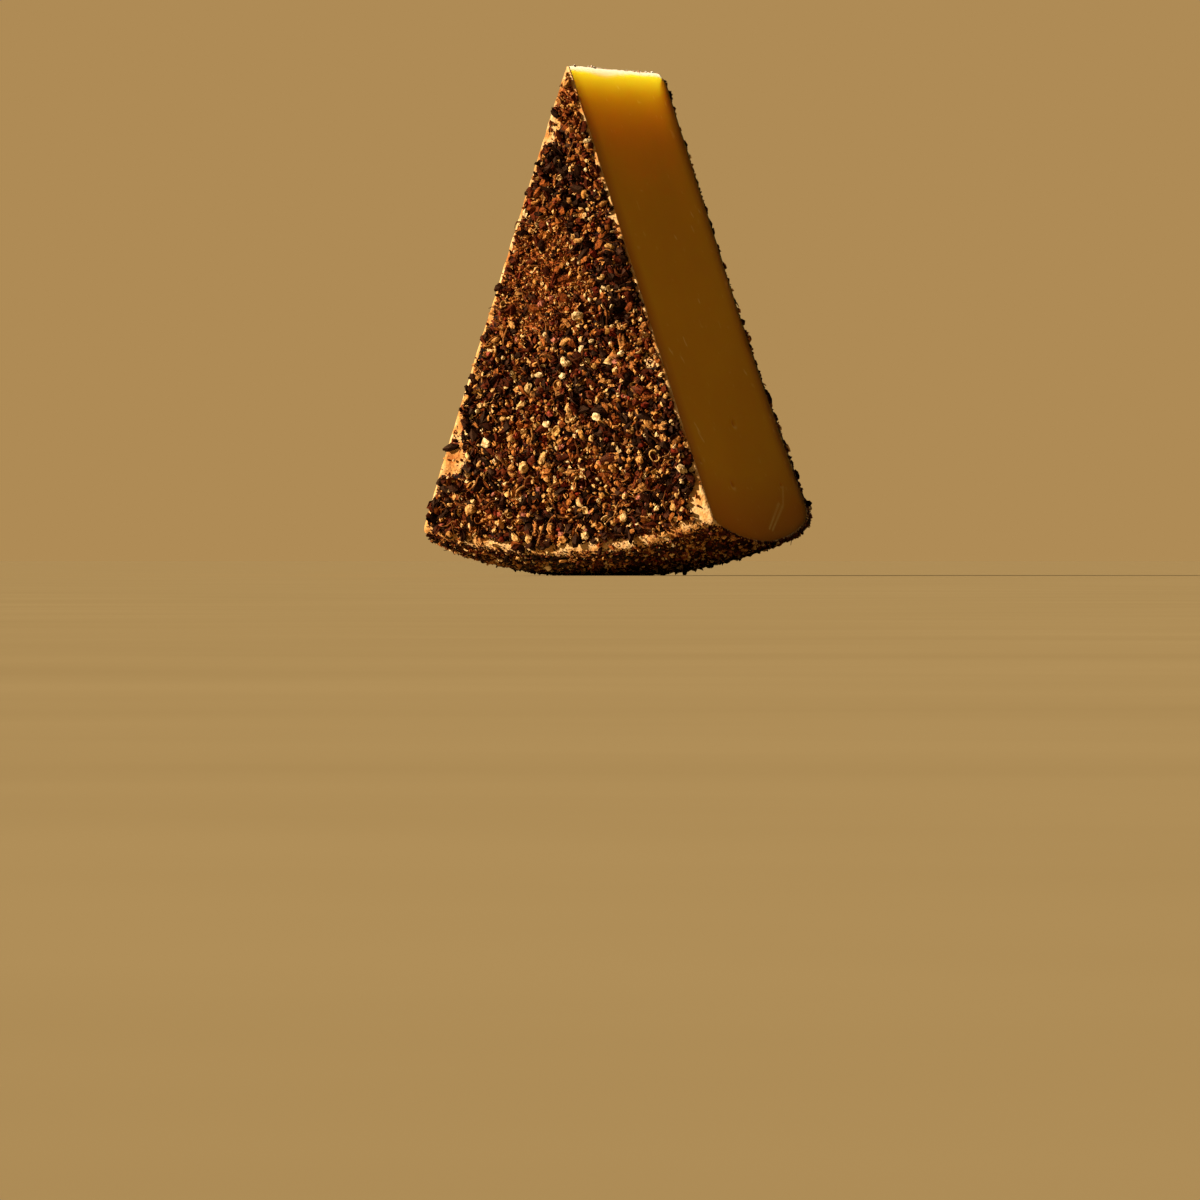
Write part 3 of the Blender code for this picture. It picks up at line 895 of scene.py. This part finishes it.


# Leaves room for the listed grains: 0 at one's middle and 1 past its edge
def awayFromPlaced(points):
    free = np.ones(len(points))
    for kind in grainKinds.values():
        for place, size in zip(*placedGrains(kind.get("placed", ()))[0::2]):
            free *= step(0.25, 0.7, np.linalg.norm(points - place, axis=1) / size)
    return free


# How rust-coloured the coat is, 0 to 1, from the patches of the front
def rustiness(points):
    ragged = 0.5 * lumps(points, 8, 53, 2)
    return np.max([inPatch(points, patch, ragged) for patch in rustyPatches], axis=0)


# All the grain kinds, each with its own share over the front, the heel and the back
def makeCoat(outer, normals, cover):
    flat = ((outer[:-1, :-1] + outer[1:, 1:]) / 2).reshape(-1, 3)
    covered = cover.reshape(outer.shape[:2])[:-1, :-1].ravel() * awayFromPlaced(flat)
    rusty = rustiness(flat)
    fields = {
        "cover": covered,
        "full": covered**2,
        "dark": (1 - 0.75 * rusty) * (1 + 2.5 * inPatch(flat, darkPatch, 0.5 * lumps(flat, 8, 54, 2))),
        "height": (flat[:, 2] - low[2]) / (high[2] - low[2]),
        "drift": lumps(flat, 13, 51, 2),
        "fine": lumps(flat, 5, 52, 2),
        "rusty": rusty,
    }
    for name, kind in grainKinds.items():
        scatter(name, kind, (outer, normals), fields)


tipCrumbs = {
    "seed": 120,
    "count": 40,
    "size": (0.5, 1.6),
}


# Crumbs of dry paste torn up along the thin edge, set at random on its worn top
def makeTipCrumbs(material):
    rng = np.random.default_rng(tipCrumbs["seed"])
    count = tipCrumbs["count"]
    shapes = [crackedShape(rng, 5, 3, 5) for _ in range(6)]
    size = tipCrumbs["size"][0] + np.ptp(tipCrumbs["size"]) * rng.random(count) ** 2
    y = wedge["middleY"] + rng.uniform(-0.95 * wedge["frontFace"], 0.85 * wedge["backFace"], count)
    place = np.stack([wedge["tipX"] + rng.uniform(-0.5, 0.5, count), y, y * 0 + wedge["tipHeight"]], axis=1)
    place[:, 2] += 0.1 - tipWear(place)
    turns = turnsFor(np.tile([0.0, 0.0, 1.0], (count, 1)), 0.8, rng)
    scale = np.stack([size, size * 0.8, size * 0.7], axis=1) / 2
    points, faces, _ = grainMesh(shapes, np.arange(count) % len(shapes), place, turns, scale)
    full = np.ones(len(points))
    values = {"paintedShadeFree": full, "mark": 0 * full, "dry": full}
    addPiece("tip_crumbs", points, faces, material, False, values)


# Studio

studio = {
    "pixelMm": 0.3107,  # size of one photo pixel at the wedge
    "frameSide": 1200,
    "distance": 4000.0,
    "azimuth": math.radians(24.0),
    "cameraHeight": 5.0,
    "groundColumn": 617.0,  # where the point below the tip stands in the frame
    "groundRow": 575.6,
    "sensor": 36.0,
    "keyDirection": 198,  # degrees round from the camera's right, by way of behind the cheese
    "keyElevation": 20,
    "keyPower": 8.9,
    "keySoftness": 2.5,
    "keyColour": "#FFE9C8",
    "fillDirection": -12,  # a weak, very soft light on the right cut
    "fillElevation": 25,
    "fillPower": 0.25,
    "fillSoftness": 70,
    "backdropColour": "#AF8B55",
    "lightDistance": 2000.0,
    "floorReach": 30000.0,
    "floorDepth": 0.02,  # the floor lies this far below the heel, so that the two never fight
}
viewRight = np.array([math.cos(studio["azimuth"]), math.sin(studio["azimuth"]), 0])
viewForward = np.array([-math.sin(studio["azimuth"]), math.cos(studio["azimuth"]), 0])


# Puts a camera or light at a place in millimetres, looking at a target
def lookAt(name, data, place, target):
    piece = bpy.data.objects.new(name, data)
    piece.location = Vector(place * mm)
    piece.rotation_euler = Vector((target - place) * mm).to_track_quat("-Z", "Y").to_euler()
    bpy.context.scene.collection.objects.link(piece)
    return piece


# A long lens just above the surface, so that one photo pixel is pixelMm at the wedge
def makeCamera():
    middle = studio["frameSide"] / 2
    beside = -(studio["groundColumn"] - middle) * studio["pixelMm"]
    origin = np.array([wedge["tipX"] + wedge["tipWidth"] / 2, wedge["middleY"], 0]) + viewRight * beside
    place = origin - viewForward * studio["distance"] + [0, 0, studio["cameraHeight"]]
    target = origin + [0, 0, (studio["groundRow"] - middle) * studio["pixelMm"]]
    data = bpy.data.cameras.new("camera")
    data.sensor_width = studio["sensor"]
    data.lens = studio["sensor"] * studio["distance"] / (studio["frameSide"] * studio["pixelMm"])
    data.clip_start, data.clip_end = 0.01, 100
    bpy.context.scene.camera = lookAt("camera", data, place, target)


# A far light by its direction and elevation: the key grazes the front, the fill softens the right cut
def makeLight(name):
    turn, lift = math.radians(studio[name + "Direction"]), math.radians(studio[name + "Elevation"])
    level = viewRight * math.cos(turn) + viewForward * math.sin(turn)
    target = np.array([0, 0, 80.0])
    place = target + (level * math.cos(lift) + [0, 0, math.sin(lift)]) * studio["lightDistance"]
    data = bpy.data.lights.new(name, "SUN")
    data.energy = studio[name + "Power"]
    data.angle = math.radians(studio[name + "Softness"])
    data.color = linear(studio["keyColour"])[:3]
    lookAt(name, data, place, target)


# A plain pale table top, a lightly mottled sheet far wider than the view
def makeFloor():
    material, tree, shader = startMaterial("paleTable", {"Roughness": 0.9, "Specular IOR Level": 0.1})
    place = addNode(tree, "TexCoord", out="Object")
    mottle = addNode(tree, "TexNoise", {"Vector": place, "Scale": 1 / (60 * mm), "Detail": 3.0})
    tone = addNode(tree, "ValToRGB", {"Fac": mottle}, stops=((0.3, "#A8946A"), (0.7, "#AE9A70")))
    tree.links.new(tone, shader.inputs["Base Color"])
    corners = np.array([[-1, -1], [1, -1], [1, 1], [-1, 1]]) * studio["floorReach"]
    corners = np.column_stack([corners, np.full(4, -studio["floorDepth"])])
    mesh = bpy.data.meshes.new("floor")
    mesh.from_pydata((corners * mm).tolist(), [], [(0, 1, 2, 3)])
    mesh.materials.append(material)
    floor = bpy.data.objects.new("floor", mesh)
    bpy.context.scene.collection.objects.link(floor)


# Soft warm light from all round, brightest behind the cheese; a camera sees one plain backdrop
def makeWorld():
    world = bpy.data.worlds.new("studio")
    world.use_nodes = True
    tree = world.node_tree
    direction = addNode(tree, "TexCoord", out="Generated")
    facing = addNode(
        tree, "VectorMath", {0: direction, 1: tuple(viewForward)}, "Value", operation="DOT_PRODUCT")
    colour = addNode(tree, "ValToRGB", {"Fac": facing}, stops=(
        (0.0, "#140F07"), (0.72, "#261D10"), (0.93, studio["backdropColour"])))
    seen = addNode(tree, "LightPath", out="Is Camera Ray")
    colour = addNode(
        tree, "Mix", {"Factor": seen, 6: colour, 7: studio["backdropColour"]}, 2, data_type="RGBA")
    tree.links.new(colour, tree.nodes["Background"].inputs["Color"])
    bpy.context.scene.world = world


cheese = pasteMaterial()
makePaste(cheese)
coatOuter, coatNormals, coatAmount = rindSurface()
makeRind(coatOuter, coatAmount)
makeCoat(coatOuter, coatNormals, coatAmount)
makeTipCrumbs(cheese)
print("coat made")
makeCamera()
makeLight("key")
makeLight("fill")
makeFloor()
makeWorld()
bpy.context.scene.view_settings.view_transform = "Standard"
print("studio made")
